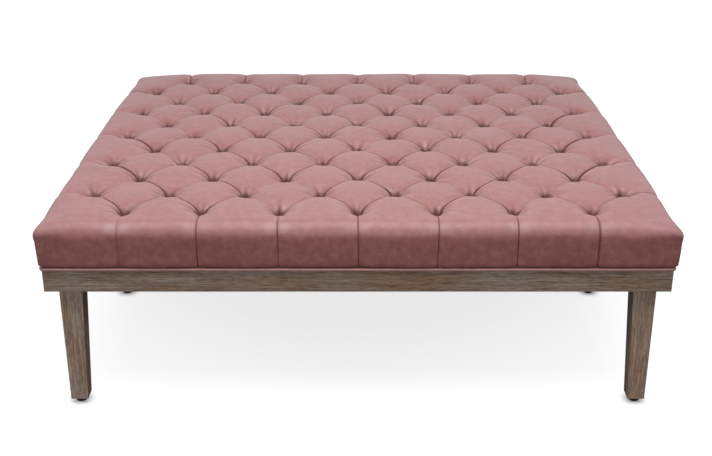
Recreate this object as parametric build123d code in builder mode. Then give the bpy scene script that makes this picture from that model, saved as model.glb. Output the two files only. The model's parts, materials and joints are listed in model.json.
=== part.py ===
"""Ottoman coffee table: a diamond-tufted leather cushion on a show-wood frame with six tapered legs.

The origin is on the floor at the middle of the table, +X to the right, the front along -Y, +Z up.
Lengths are in millimetres.
"""

from build123d import *
import os

# Overall sizes
cushion_width = 1372.0
cushion_depth = 1219.0
glide_height = 12.0
leg_height = 285.0
rail_height = 51.0

# Tufting: long and short rows in turn, counted in half pitches from the middle of the cushion
outer_column = 7
outer_row = 5
row_margin = 89.5
tuft_depth = 8.0
tuft_mouth = 16.0
tuft_floor = 5.0
crease_width = 3.0
pleat_width = 2.6
pleat_depth = 3.5

# Cushion: boxed sides, rolled shoulder and stuffed diamonds
side_height = 91.0
side_draw = 3.0
belly_rise = 10.0
shoulder_radius = 24.0
puff_rise = 17.0
puff_sink = 2.0
leather = 1.8
layer_gap = 0.5
wadding_wrap = 10.0
wadding_least = 6.0
deck_thickness = 15.0

# Welt round the foot of the cushion
welt_diameter = 6.8
welt_setback = 2.0
welt_corner = 9.0
welt_flange = 15.0
flange_thickness = 1.0
contact_gap = 0.1

# Show-wood frame
cushion_overhang = 4.5
rail_thickness = 22.0
edge_round = 0.8
spline_size = 13.0
spline_thickness = 3.0
block_size = 66.0
block_chamfer = 20.0
side_block_length = 82.0
bearer_thickness = 22.0
bearer_lift = 4.0
pocket_diameter = 26.0
pocket_depth = 8.0

# Legs
leg_inset = 25.0
leg_top = 51.0
leg_foot = 38.5

# Twines that pull the tufts down, and their washers under the deck
twine_diameter = 2.4
twine_hole = 6.0
deck_hole = 5.0
washer_diameter = 20.0
washer_thickness = 1.6
knot_diameter = 6.0
knot_height = 3.0

# Fasteners
screw_diameter = 4.0
screw_length = 28.0
screw_head = 8.0
screw_head_height = 2.4
screw_tip = 3.0
counterbore_diameter = 11.0
deck_screw_grip = 17.0
block_screw_grip = 16.0
dowel_diameter = 8.0
dowel_length = 30.0
dowel_depth = 12.0
bolt_diameter = 8.0
bolt_in_leg = 38.0
bolt_in_block = 49.0
tee_flange = 19.0
tee_flange_thickness = 1.6
tee_barrel = 10.5
tee_barrel_length = 11.0
fastener_gap = 0.1
hole_clearance = 0.6

# Levelling feet
stem_diameter = 8.0
stem_length = 30.0
stem_gap = 0.05
stem_root = 5.0
insert_diameter = 12.0
insert_length = 18.0
glide_diameter = 24.0
glide_round = 3.0
glide_gap = 0.3

# Dust cover and staples
dust_cover_thickness = 1.0
dust_cover_inset = 12.0
dust_cover_cutout = 4.0
staple_inset = 5.0
staple_width = 1.2
staple_wire = 0.6
staple_crown = 10.0
staple_leg = 8.0
staple_pitch = 90.0
cut_overrun = 5.0

# Crown of a stuffed diamond: shares of its rise, each with a share of its outline
crown_shares = ((0.0, 1.0), (0.55, 0.84), (0.88, 0.58), (1.0, 0.24))
shoulder_line_share = 0.7
spline_height_shares = (0.3, 0.7)
block_screw_shares = (0.33, 0.67)
side_block_screw_shares = (-0.3, 0.3)
block_screw_offset_share = 0.28
dowel_offset_share = 0.24
bearer_column_share = 2.5
deck_screw_column_shares = (-3.5, -1.5, 1.5, 3.5)
deck_screw_row_shares = (1.5, 4.0)

# Heights, from the floor up
leg_bottom = glide_height
rail_bottom = leg_bottom + leg_height
rail_top = rail_bottom + rail_height
deck_bottom = rail_top + flange_thickness
deck_top = deck_bottom + deck_thickness
seam_height = rail_top + welt_diameter + 2 * contact_gap
crease_height = seam_height + side_height
tuft_height = crease_height - tuft_depth
foam_top = tuft_height - leather - layer_gap - wadding_least
tuft_rim = tuft_mouth + (tuft_mouth - tuft_floor) * puff_rise / tuft_depth

# Plan sizes
half_pitch = cushion_width / (2 * (outer_column + 1))
row_pitch = (cushion_depth - 2 * row_margin) / (2 * outer_row)
base_width = cushion_width - 2 * cushion_overhang
base_depth = cushion_depth - 2 * cushion_overhang
foam_width = cushion_width - 2 * (leather + layer_gap + wadding_wrap)
foam_depth = cushion_depth - 2 * (leather + layer_gap + wadding_wrap)
leg_x = base_width / 2 - leg_inset - leg_top / 2
leg_y = base_depth / 2 - leg_inset - leg_top / 2
foot_shift = (leg_top - leg_foot) / 2
block_reach = leg_inset + leg_top / 2 - rail_thickness
block_middle = block_reach - block_size / 2
cross_rail_y = (side_block_length + bearer_thickness) / 2
bearer_x = bearer_column_share * half_pitch
bearer_height = deck_bottom - rail_bottom - bearer_lift
bearer_middle = deck_bottom - bearer_height / 2

# Leg stations, each turned so that its own +X and +Y, or +X alone at the sides, point out
corner_stations = {
    "front_left": Location((-leg_x, -leg_y, 0), (0, 0, 180)),
    "front_right": Location((leg_x, -leg_y, 0), (0, 0, 270)),
    "back_left": Location((-leg_x, leg_y, 0), (0, 0, 90)),
    "back_right": Location((leg_x, leg_y, 0), (0, 0, 0)),
}
side_stations = {
    "middle_left": Location((-leg_x, 0, 0), (0, 0, 180)),
    "middle_right": Location((leg_x, 0, 0), (0, 0, 0)),
}
stations = {**corner_stations, **side_stations}
feet = {name: place * Location((foot_shift, foot_shift, 0)) for name, place in corner_stations.items()}
feet |= {name: place * Location((foot_shift, 0, 0)) for name, place in side_stations.items()}


def tuft_place(column, row):
    """Plan position of a tuft, counted in half pitches from the middle of the cushion."""
    return column * half_pitch, row * row_pitch


front_pleats = [column * half_pitch for column in range(1 - outer_column, outer_column, 2)]
side_pleats = [row * row_pitch for row in range(1 - outer_row, outer_row, 2)]
tuft_spots = [
    tuft_place(column, row)
    for row in range(-outer_row, outer_row + 1)
    for column in range(-outer_column, outer_column + 1)
    if (row + column) % 2 == 1
]


def save(part, name):
    """Label a finished piece and write it under its own name."""
    part.label = name
    export_step(part, f"parts/{name}.step")


def upright(diameter, length, low=0.0):
    """Round bar or hole standing on the height low."""
    with BuildPart() as bar:
        with BuildSketch(Plane.XY.offset(low)):
            Circle(diameter / 2)
        extrude(amount=length)
    return bar.part


def grouped(piece, places):
    """Separate copies of one piece, one at each place."""
    with BuildPart() as group:
        with Locations(*places):
            add(piece)
    return group.part


def cut_by(blank, *cutters):
    """A blank with drillings and the room for other pieces cut out of it."""
    with BuildPart() as piece:
        add(blank)
        for cutter in cutters:
            add(cutter, mode=Mode.SUBTRACT)
    return piece.part


def around(width, depth, height):
    """Even places along the four sides of a rectangle, each turned to lie along its side."""
    places = []
    for length, reach, turn in ((width, depth, 0), (depth, width, 90)):
        count = int(length // staple_pitch)
        for side in (0, 180):
            for index in range(count):
                along = (index - (count - 1) / 2) * staple_pitch
                place = Location((0, 0, 0), (0, 0, turn + side))
                places.append(place * Location((along, -reach / 2, height)))
    return places


def puff(corners, inset, bottom):
    """One stuffed cell of the tufting, from its creases to its crown."""
    centre_x = sum(x for x, _ in corners) / len(corners)
    centre_y = sum(y for _, y in corners) / len(corners)
    rise = puff_rise + puff_sink
    with BuildPart() as cell:
        for rise_share, outline_share in crown_shares:
            outline = [
                (centre_x + outline_share * (x - centre_x), centre_y + outline_share * (y - centre_y))
                for x, y in corners
            ]
            with BuildSketch(Plane.XY.offset(bottom + rise_share * rise)):
                Polygon(*outline, align=None)
                offset(amount=-outline_share * (crease_width / 2 + inset), kind=Kind.INTERSECTION)
        loft()
    return cell.part


def cell_corners():
    """Outlines of the stuffed cells: the full diamonds, then those that reach the shoulder."""
    edge_x = cushion_width / 2 - shoulder_line_share * shoulder_radius
    edge_y = cushion_depth / 2 - shoulder_line_share * shoulder_radius
    cells = []
    for row in range(1 - outer_row, outer_row):
        for column in range(1 - outer_column, outer_column):
            if (row + column) % 2 == 0:
                around_it = ((column - 1, row), (column, row - 1), (column + 1, row), (column, row + 1))
                cells.append([tuft_place(*spot) for spot in around_it])
    for side in (-1, 1):
        for column in range(2 - outer_column, outer_column - 1, 2):
            left = tuft_place(column - 1, side * outer_row)
            right = tuft_place(column + 1, side * outer_row)
            apex = tuft_place(column, side * (outer_row - 1))
            cells.append([apex, left, (left[0], side * edge_y), (right[0], side * edge_y), right])
        for row in range(2 - outer_row, outer_row - 1, 2):
            near = tuft_place(side * outer_column, row - 1)
            far = tuft_place(side * outer_column, row + 1)
            apex = tuft_place(side * (outer_column - 1), row)
            cells.append([apex, near, (side * edge_x, near[1]), (side * edge_x, far[1]), far])
        for end in (-1, 1):
            across = tuft_place(side * (outer_column - 1), end * outer_row)
            along = tuft_place(side * outer_column, end * (outer_row - 1))
            corner = (side * edge_x, end * edge_y)
            cells.append([across, (across[0], corner[1]), corner, (corner[0], along[1]), along])
    return cells


def pleat_cutter(half_size, tuft_distance, inset):
    """Slot of one pleat, from a tuft over the shoulder and down the front of the cushion."""
    depth = pleat_depth + inset
    face = -(half_size - depth)
    top = crease_height - depth
    bend = shoulder_radius - depth
    foot = seam_height - 2 * cut_overrun
    outside = face - depth - cut_overrun
    above = crease_height + puff_rise
    with BuildPart() as slot:
        with BuildSketch(Plane.YZ):
            with BuildLine():
                Polyline((face, top - bend), (face, foot), (outside, foot), (outside, above))
                Polyline((outside, above), (-tuft_distance, above), (-tuft_distance, top), (face + bend, top))
                RadiusArc((face + bend, top), (face, top - bend), -bend)
            make_face()
        extrude(amount=pleat_width / 2 + inset, both=True)
    return slot.part


def tufted_form(inset, bottom):
    """The cushion's tufted outer form, drawn in all round by inset and cut off level at bottom."""
    width = cushion_width - 2 * inset
    depth = cushion_depth - 2 * inset
    belly_height = seam_height + belly_rise
    bottom_draw = side_draw * (belly_height - bottom) / belly_rise
    front_slot = pleat_cutter(cushion_depth / 2, outer_row * row_pitch, inset)
    side_slot = pleat_cutter(cushion_width / 2, outer_column * half_pitch, inset)
    puffs = [puff(corners, inset, crease_height - inset - puff_sink) for corners in cell_corners()]
    with BuildPart() as form:
        for level, draw in ((bottom, bottom_draw), (belly_height, 0), (crease_height - inset, 0)):
            with BuildSketch(Plane.XY.offset(level)):
                Rectangle(width - 2 * draw, depth - 2 * draw)
        loft(ruled=True)
        fillet(form.faces().sort_by(Axis.Z)[-1].edges(), radius=shoulder_radius - inset)
        with Locations(*[Location((x, 0, 0), (0, 0, turn)) for x in front_pleats for turn in (0, 180)]):
            add(front_slot, mode=Mode.SUBTRACT)
        with Locations(*[Location((0, y, 0), (0, 0, turn)) for y in side_pleats for turn in (90, -90)]):
            add(side_slot, mode=Mode.SUBTRACT)
        add(puffs, clean=False)
        with Locations(*[(x, y, tuft_height - inset) for x, y in tuft_spots]):
            Cone(
                bottom_radius=tuft_floor / 2 + inset,
                top_radius=tuft_rim / 2 + inset,
                height=tuft_depth + puff_rise,
                align=(Align.CENTER, Align.CENTER, Align.MIN),
                mode=Mode.SUBTRACT,
            )
    return form.part


def show_rail(length, reach):
    """One mitred rail of the frame, as it lies along the front of a table reach deep."""
    front = -reach / 2
    with BuildPart() as rail:
        with BuildSketch(Plane.XY.offset(rail_bottom)):
            Polygon(
                (-length / 2, front),
                (length / 2, front),
                (length / 2 - rail_thickness, front + rail_thickness),
                (-length / 2 + rail_thickness, front + rail_thickness),
                align=None,
            )
        extrude(amount=rail_height)
        fillet(rail.faces().sort_by(Axis.Y)[0].edges().filter_by(Axis.X), radius=edge_round)
    return rail.part


def bearer(length, place):
    """One rail under the deck, lying along X before it is placed."""
    with BuildPart() as rail:
        with BuildSketch(Plane.XY.offset(deck_bottom - bearer_height)):
            Rectangle(length, bearer_thickness)
        extrude(amount=bearer_height)
    return rail.part.moved(place)


def tapered_leg(shift_x, shift_y):
    """A leg in its station's frame, its foot set over so that its outer faces stay upright."""
    with BuildPart() as leg:
        with BuildSketch(Plane.XY.offset(leg_bottom)):
            with Locations((shift_x, shift_y)):
                Rectangle(leg_foot, leg_foot)
        with BuildSketch(Plane.XY.offset(rail_bottom)):
            Rectangle(leg_top, leg_top)
        loft(ruled=True)
        fillet(leg.edges().group_by(Axis.Z)[1], radius=edge_round)
        add(leg_drilling.part, mode=Mode.SUBTRACT)
        with Locations((shift_x, shift_y)):
            add(foot_drilling.part, mode=Mode.SUBTRACT)
    return leg.part


os.makedirs("parts", exist_ok=True)

# Cushion: leather cover, fibre wadding and foam
with BuildPart() as tufted_cover:
    add(tufted_form(0, seam_height))
    add(tufted_form(leather, seam_height - cut_overrun), mode=Mode.SUBTRACT)
save(tufted_cover.part, "tufted_cover")

with BuildPart() as fibre_wadding:
    add(tufted_form(leather + layer_gap, seam_height))
    with BuildSketch(Plane.XY.offset(seam_height - cut_overrun)):
        Rectangle(foam_width, foam_depth)
    extrude(amount=foam_top - seam_height + cut_overrun, mode=Mode.SUBTRACT)
    with BuildSketch(Plane.XY.offset(foam_top - cut_overrun)):
        with Locations(*tuft_spots):
            Circle(twine_hole / 2)
    extrude(amount=wadding_least + 2 * cut_overrun, mode=Mode.SUBTRACT)
save(fibre_wadding.part, "fibre_wadding")

with BuildPart() as foam_core:
    with BuildSketch(Plane.XY.offset(deck_top)):
        Rectangle(foam_width, foam_depth)
        with Locations(*tuft_spots):
            Circle(twine_hole / 2, mode=Mode.SUBTRACT)
    extrude(amount=foam_top - deck_top)
save(foam_core.part, "foam_core")

# Screws, driven along their own +Z from the seat of the head, and their drillings
with BuildPart() as wood_screw:
    with BuildSketch(Plane.XZ):
        Polygon(
            (0, -screw_head_height),
            (screw_head / 2, -screw_head_height),
            (screw_head / 2, 0),
            (screw_diameter / 2, 0),
            (screw_diameter / 2, screw_length - screw_tip),
            (0, screw_length),
            align=None,
        )
    revolve(axis=Axis.Z)

with BuildPart() as bearer_drilling:
    add(upright(screw_diameter + 2 * fastener_gap, screw_length + fastener_gap))
    add(upright(counterbore_diameter, bearer_height, -bearer_height))

with BuildPart() as block_drilling:
    add(upright(screw_diameter + 2 * fastener_gap, screw_length + fastener_gap))
    add(upright(counterbore_diameter, block_size, -block_size))

deck_screw_seat = deck_bottom - deck_screw_grip
deck_screw_places = [
    (share * half_pitch, side * cross_rail_y, deck_screw_seat)
    for side in (-1, 1)
    for share in deck_screw_column_shares
]
deck_screw_places += [
    (side * bearer_x, end * share * row_pitch, deck_screw_seat)
    for side in (-1, 1)
    for end in (-1, 1)
    for share in deck_screw_row_shares
]
deck_drillings = grouped(bearer_drilling.part, deck_screw_places)
save(grouped(wood_screw.part, deck_screw_places), "deck_screws")

screw_seat = block_reach - block_screw_grip
screw_offset = block_screw_offset_share * block_size
low_screw, high_screw = [rail_bottom + share * rail_height for share in block_screw_shares]
block_screw_places = []
for station in corner_stations.values():
    block_screw_places.append(station * Location((screw_seat, screw_offset, low_screw), (0, 90, 0)))
    block_screw_places.append(station * Location((screw_offset, screw_seat, high_screw), (-90, 0, 0)))
for station in side_stations.values():
    for share in side_block_screw_shares:
        along = share * side_block_length
        block_screw_places.append(station * Location((screw_seat, along, low_screw), (0, 90, 0)))
block_drillings = grouped(block_drilling.part, block_screw_places)
save(grouped(wood_screw.part, block_screw_places), "block_screws")

# Deck, bored for the twines and screwed down from below
with BuildPart() as plywood_deck:
    with BuildSketch(Plane.XY.offset(deck_bottom)):
        Rectangle(foam_width, foam_depth)
        with Locations(*tuft_spots):
            Circle(deck_hole / 2, mode=Mode.SUBTRACT)
    extrude(amount=deck_thickness)
    add(deck_drillings, mode=Mode.SUBTRACT)
save(plywood_deck.part, "plywood_deck")

# Tuft twines, each knotted under a washer on the deck's underside
washer_bottom = deck_bottom - washer_thickness
with BuildPart() as twine:
    add(upright(twine_diameter, tuft_height - leather - washer_bottom, washer_bottom))
    add(upright(knot_diameter, knot_height, washer_bottom - knot_height))
save(grouped(twine.part, tuft_spots), "tuft_twines")

with BuildPart() as washer:
    with BuildSketch(Plane.XY.offset(washer_bottom)):
        Circle(washer_diameter / 2)
        Circle(twine_diameter / 2 + fastener_gap, mode=Mode.SUBTRACT)
    extrude(amount=washer_thickness)
save(grouped(washer.part, tuft_spots), "tuft_washers")

# Welt: a cord in a leather strip, whose flange is held between the deck and the rails
cord_x = base_width / 2 - welt_setback
cord_y = base_depth / 2 - welt_setback
cord_height = rail_top + contact_gap + welt_diameter / 2
with BuildPart() as welt:
    with BuildLine(Plane.XY.offset(cord_height)) as cord:
        FilletPolyline(
            (-cord_x, -cord_y),
            (cord_x, -cord_y),
            (cord_x, cord_y),
            (-cord_x, cord_y),
            radius=welt_corner,
            close=True,
        )
    cord_line = cord.wire()
    with BuildSketch(Plane(origin=cord_line @ 0, z_dir=cord_line % 0)):
        Circle(welt_diameter / 2)
    sweep(path=cord_line)
    with BuildSketch(Plane.XY.offset(rail_top)):
        RectangleRounded(2 * cord_x, 2 * cord_y, welt_corner)
        Rectangle(2 * (cord_x - welt_flange), 2 * (cord_y - welt_flange), mode=Mode.SUBTRACT)
    extrude(amount=flange_thickness)
save(welt.part, "welt")

# Staples, with their points up
with BuildPart() as staple:
    with BuildSketch(Plane.XZ):
        with Locations((0, (staple_leg + staple_wire) / 2)):
            Rectangle(staple_crown, staple_leg + staple_wire)
        with Locations((0, staple_wire + staple_leg / 2)):
            Rectangle(staple_crown - 2 * staple_wire, staple_leg, mode=Mode.SUBTRACT)
    extrude(amount=staple_width / 2, both=True)

cover_staple_places = around(foam_width - 2 * staple_inset, foam_depth - 2 * staple_inset, rail_top)
save(grouped(staple.part, cover_staple_places), "cover_staples")

# Frame joinery: splines in the mitres, and dowels at the ends of the rails under the deck
with BuildPart() as spline:
    with BuildSketch(Plane.XY.offset(-spline_thickness / 2)):
        Rectangle(spline_size, spline_size)
    extrude(amount=spline_thickness)
mitre_x = (base_width - rail_thickness) / 2
mitre_y = (base_depth - rail_thickness) / 2
spline_places = [
    Location((x, y, rail_bottom + share * rail_height), (0, 0, 45))
    for x in (-mitre_x, mitre_x)
    for y in (-mitre_y, mitre_y)
    for share in spline_height_shares
]
mitre_splines = grouped(spline.part, spline_places)
save(mitre_splines, "mitre_splines")

rail_inner_x = base_width / 2 - rail_thickness
rail_inner_y = base_depth / 2 - rail_thickness
cross_rail_outer = cross_rail_y + bearer_thickness / 2
rail_dowel_x = rail_inner_x + dowel_depth
rail_dowel_y = rail_inner_y + dowel_depth
dowel_ends = []
for side in (-1, 1):
    for turn in (0, 180):
        flip = Location((0, 0, 0), (0, 0, turn))
        across = flip * Location((rail_dowel_x, side * cross_rail_y, bearer_middle), (0, -90, 0))
        outer = flip * Location((side * bearer_x, rail_dowel_y, bearer_middle), (90, 0, 0))
        inner = flip * Location((side * bearer_x, cross_rail_outer - dowel_depth, bearer_middle), (-90, 0, 0))
        dowel_ends += [across, outer, inner]
save(grouped(upright(dowel_diameter, dowel_length), dowel_ends), "frame_dowels")
dowel_bore = upright(dowel_diameter + 2 * fastener_gap, dowel_length + 2 * fastener_gap, -fastener_gap)
dowel_bores = grouped(dowel_bore, dowel_ends)

# Show-wood rails
for name, length, reach, turn in (
    ("front_rail", base_width, base_depth, 0),
    ("right_rail", base_depth, base_width, 90),
    ("back_rail", base_width, base_depth, 180),
    ("left_rail", base_depth, base_width, -90),
):
    blank = show_rail(length, reach).rotate(Axis.Z, turn)
    save(cut_by(blank, mitre_splines, dowel_bores, block_drillings), name)

# Rails under the deck
for name, side in (("front", -1), ("back", 1)):
    blank = bearer(2 * rail_inner_x, Location((0, side * cross_rail_y, 0)))
    save(cut_by(blank, dowel_bores, deck_drillings), f"cross_rail_{name}")
    for hand, x in (("left", -bearer_x), ("right", bearer_x)):
        middle = side * (rail_inner_y + cross_rail_outer) / 2
        blank = bearer(rail_inner_y - cross_rail_outer, Location((x, middle, 0), (0, 0, 90)))
        save(cut_by(blank, dowel_bores, deck_drillings), f"deck_bearer_{name}_{hand}")

# Leg fastening: a bolt in the leg screws into a tee nut in the block, and a dowel stops it turning
dowel_offset = dowel_offset_share * leg_top
dowel_spot = Location((-dowel_offset, -dowel_offset, 0))
leg_dowel = upright(dowel_diameter, dowel_length, rail_bottom - dowel_length / 2).moved(dowel_spot)
leg_dowel_hole = upright(
    dowel_diameter + 2 * fastener_gap,
    dowel_length + 2 * fastener_gap,
    rail_bottom - dowel_length / 2 - fastener_gap,
).moved(dowel_spot)
bolt_bottom = rail_bottom - bolt_in_leg
tee_bottom = deck_bottom - tee_barrel_length
flange_bottom = deck_bottom - tee_flange_thickness

with BuildPart() as tee_nut:
    add(upright(tee_barrel, tee_barrel_length, tee_bottom))
    add(upright(tee_flange, tee_flange_thickness, flange_bottom))
    add(upright(bolt_diameter + 2 * stem_gap, tee_barrel_length, tee_bottom), mode=Mode.SUBTRACT)

with BuildPart() as station_drilling:
    add(upright(bolt_diameter + 2 * hole_clearance, deck_bottom - rail_bottom, rail_bottom))
    add(upright(tee_barrel + 2 * fastener_gap, tee_barrel_length, tee_bottom))
    add(upright(tee_flange + 2 * fastener_gap, tee_flange_thickness, flange_bottom))
    add(leg_dowel_hole)

with BuildPart() as leg_drilling:
    add(upright(bolt_diameter + 2 * fastener_gap, bolt_in_leg + fastener_gap, bolt_bottom - fastener_gap))
    add(leg_dowel_hole)

with BuildPart() as foot_drilling:
    add(upright(insert_diameter + 2 * fastener_gap, insert_length, leg_bottom))
    add(upright(stem_diameter + 2 * hole_clearance, stem_length + cut_overrun, leg_bottom))

leg_bolt = upright(bolt_diameter, bolt_in_leg + bolt_in_block, bolt_bottom)
save(grouped(leg_bolt, stations.values()), "leg_bolts")
save(grouped(tee_nut.part, stations.values()), "tee_nuts")
save(grouped(leg_dowel, stations.values()), "leg_dowels")

# Blocks that the legs are bolted to
with BuildPart() as corner_block:
    with BuildSketch(Plane.XY.offset(rail_bottom)):
        with Locations((block_middle, block_middle)):
            Rectangle(block_size, block_size)
    extrude(amount=deck_bottom - rail_bottom)
    inner_edge = corner_block.edges().filter_by(Axis.Z).sort_by(lambda e: e.center().X + e.center().Y)[0]
    chamfer(inner_edge, length=block_chamfer)
    add(station_drilling.part, mode=Mode.SUBTRACT)
for name, station in corner_stations.items():
    save(cut_by(corner_block.part.moved(station), block_drillings), f"corner_block_{name}")

with BuildPart() as side_block:
    with BuildSketch(Plane.XY.offset(rail_bottom)):
        with Locations((block_middle, 0)):
            Rectangle(block_size, side_block_length)
    extrude(amount=deck_bottom - rail_bottom)
    add(station_drilling.part, mode=Mode.SUBTRACT)
    with BuildSketch(Plane.XY.offset(deck_bottom - pocket_depth)):
        with Locations((outer_column * half_pitch - leg_x, 0)):
            Circle(pocket_diameter / 2)
    extrude(amount=pocket_depth, mode=Mode.SUBTRACT)
for name, station in side_stations.items():
    save(cut_by(side_block.part.moved(station), block_drillings), f"leg_block_{name}")

# Legs
corner_leg = tapered_leg(foot_shift, foot_shift)
side_leg = tapered_leg(foot_shift, 0)
for name, station in stations.items():
    leg_shape = corner_leg if name in corner_stations else side_leg
    save(leg_shape.moved(station), f"leg_{name}")

# Levelling feet: a threaded insert in the leg, a stem that screws in it and a moulded glide
with BuildPart() as insert:
    add(upright(insert_diameter, insert_length, leg_bottom))
    add(upright(stem_diameter + 2 * stem_gap, insert_length, leg_bottom), mode=Mode.SUBTRACT)
save(grouped(insert.part, feet.values()), "leg_inserts")

glide_top = glide_height - glide_gap
stem_low = glide_top - stem_root
socket_radius = stem_diameter / 2 + stem_gap
glide_radius = glide_diameter / 2
with BuildPart() as glide:
    with BuildSketch(Plane.XZ):
        with BuildLine():
            Polyline((glide_radius - glide_round, 0), (0, 0), (0, stem_low), (socket_radius, stem_low))
            Polyline((socket_radius, stem_low), (socket_radius, glide_top), (glide_radius, glide_top))
            Line((glide_radius, glide_top), (glide_radius, glide_round))
            RadiusArc((glide_radius, glide_round), (glide_radius - glide_round, 0), glide_round)
        make_face()
    revolve(axis=Axis.Z)
stem = upright(stem_diameter, leg_bottom + stem_length - stem_low, stem_low)
for name, foot in feet.items():
    save(glide.part.moved(foot), f"glide_{name}")
    save(stem.moved(foot), f"stem_{name}")

# Dust cover under the frame, cut round the legs, and its staples
dust_cover_bottom = rail_bottom - dust_cover_thickness
window = leg_top + 2 * dust_cover_cutout
with BuildPart() as dust_cover:
    with BuildSketch(Plane.XY.offset(dust_cover_bottom)):
        Rectangle(base_width - 2 * dust_cover_inset, base_depth - 2 * dust_cover_inset)
        with Locations(*stations.values()):
            Rectangle(window, window, mode=Mode.SUBTRACT)
    extrude(amount=dust_cover_thickness)
save(dust_cover.part, "dust_cover")

dust_staple_reach = 2 * (dust_cover_inset + staple_inset)
dust_staple_places = around(
    base_width - dust_staple_reach,
    base_depth - dust_staple_reach,
    dust_cover_bottom - staple_wire,
)
save(grouped(staple.part, dust_staple_places), "dust_cover_staples")
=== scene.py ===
"""Looks of the diamond-tufted ottoman coffee table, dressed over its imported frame. Lengths are in metres."""

import json
import math

import bpy
import numpy as np
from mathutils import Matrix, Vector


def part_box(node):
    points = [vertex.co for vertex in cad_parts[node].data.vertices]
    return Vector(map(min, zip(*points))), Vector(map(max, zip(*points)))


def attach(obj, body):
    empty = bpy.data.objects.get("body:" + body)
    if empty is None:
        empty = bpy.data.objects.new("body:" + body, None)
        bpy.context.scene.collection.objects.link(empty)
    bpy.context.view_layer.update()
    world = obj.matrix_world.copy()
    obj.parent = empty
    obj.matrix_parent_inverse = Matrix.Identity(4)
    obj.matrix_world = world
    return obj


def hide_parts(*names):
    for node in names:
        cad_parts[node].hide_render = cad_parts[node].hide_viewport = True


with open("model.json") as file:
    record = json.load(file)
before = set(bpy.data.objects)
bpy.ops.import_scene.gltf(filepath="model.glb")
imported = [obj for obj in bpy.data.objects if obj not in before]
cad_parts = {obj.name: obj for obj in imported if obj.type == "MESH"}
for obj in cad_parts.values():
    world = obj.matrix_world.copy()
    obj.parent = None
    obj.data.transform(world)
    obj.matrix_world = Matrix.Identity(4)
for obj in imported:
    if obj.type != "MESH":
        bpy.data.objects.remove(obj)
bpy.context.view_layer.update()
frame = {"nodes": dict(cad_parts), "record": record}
nodes = frame["nodes"]

# Camera, worked out from the legs, the rails and the rows of tufts
camera_place = (0.0, -2.795, 1.374)
camera_tilt = 22.93
camera_lens = 56.7
camera_sensor = 36
camera_shift = -0.0025

# Tufting, counted in half pitches from the middle of the cushion
outer_column = 7
outer_row = 5
row_margin = 0.0895
cover_low, cover_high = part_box("tufted_cover")
half_width = cover_high.x
half_depth = cover_high.y
foot_height = cover_low.z
half_pitch = half_width / (outer_column + 1)
row_pitch = (half_depth - row_margin) / outer_row
fold_width = half_pitch * row_pitch / math.hypot(half_pitch, row_pitch)

# Form of the leather over its stuffing
crease_height = 0.443
shoulder_radius = 0.026
leather = 0.0018
wadding_gap = 0.0006
wadding_draw = 0.0016
wadding_draw_height = 0.02
wall_height = 0.0046
wall_least = 1e-6
wall_blend = 3
wall_softening = 0.8
back_reach = 0.0020
front_reach = 0.0210
dome_height = 0.0050
dome_roundness = 0.8
tuft_pull = 0.45
tuft_pull_reach = 0.024
tuft_pull_lean = 0.32
crease_rise = 0.0108
crease_rise_reach = 0.025
pit_floor = 0.0046
pit_floor_edge = 0.005
pit_inner = 0.0090
pit_outer = 0.0165
pit_behind = 0.0045
border_drop_front = 0.0042
border_drop_back = 0.0020
border_drop_reach = 0.070
corner_radius = 0.0045
corner_reach = 0.090
corner_lean = 1.7
tip_drop = 0.022
tip_reach = 0.036
tip_stretch = 0.55
back_sag = 0.006
back_sag_reach = 0.42
back_narrowing = 0.006
face_bulge = 0.0030
face_foot = 0.0012
face_belly = 0.0006
foot_tuck = 0.0052
foot_tuck_height = 0.010
broad_unevenness = 0.0009
fine_unevenness = 0.0003
wave_count = 9
wave_lengths = (0.7, 1.6)
wave_peak = 4.2
crease_sway = 0.0016

# Pleats, each from an outer tuft down to the foot
pleat_dip = 0.0021
pleat_dip_width = 0.015
pleat_dip_full = 0.03
pleat_start_dip = 0.55
pleat_start_width = 0.016
pleat_start_rise = (-0.006, 0.004)
pleat_start_fall = (0.008, 0.046)
pleat_slit = 0.0034
pleat_slit_width = 0.0009
pleat_slit_rise = (0.008, 0.020)
# Where the painted highlight on the shoulder lies beside each pleat, and how wide it is
pleat_highlight_gap = 0.015
pleat_highlight_width = 0.013
faint_pleat_from = 0.45
faint_pleat_share = 0.3

# Short wrinkles that run out from each tuft
wrinkle_count = 11
wrinkle_swing = 0.24
wrinkle_depths = (0.0006, 0.0034)
wrinkle_lengths = (0.016, 0.036)
wrinkle_width = 0.0019
wrinkle_spread = 0.11
wrinkle_start = (0.004, 0.010)
# How far beside each wrinkle, in its widths, the painted highlight lies
wrinkle_ridge = 1.6

# Painted shade in the folds, pits, pleat slits, wrinkles and corner seams of the leather, and where it is
# painted pale: painted sheen towards the crests, painted highlights beside the wrinkles and along the
# shoulders by the pleats
fold_reach_under = 0.0032
fold_reach_over = 0.0018
fold_dark_over = 0.78
fold_dark_least = 0.06
fold_dark_softness = 0.0035
pit_dark = 0.94
pit_dark_edges = (0.004, 0.020)
seam_dark = 0.85
seam_width = 0.0024
seam_turn = (1.0, 1.5)
wrinkle_dark = 220
wrinkle_highlight = 400
crest_of_puff = 0.2
crest_edges = (0.012, 0.046)
highlight_turn = 0.60
highlight_width = 0.32
highlight_least = 0.35
highlight_unevenness = 0.3

# Mesh of the leather: steps between two tufts and from a crease to the foot, and how near points merge
cell_steps = 32
cell_evenness = 0.25
top_steps = 22
top_grading = 1.5
shoulder_steps = 8
face_steps = 12
inner_stride = 2
merge_size = 2e-5
merge_shift = 0.37
cushion_middle = 0.2
edge_slack = 1e-6


def graded(count, evenness):
    """Shares from 0 to 1 that lie closer together at both ends."""
    even = np.linspace(0, 1, count + 1)
    return evenness * even + (1 - evenness) * (1 - np.cos(np.pi * even)) / 2


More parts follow.
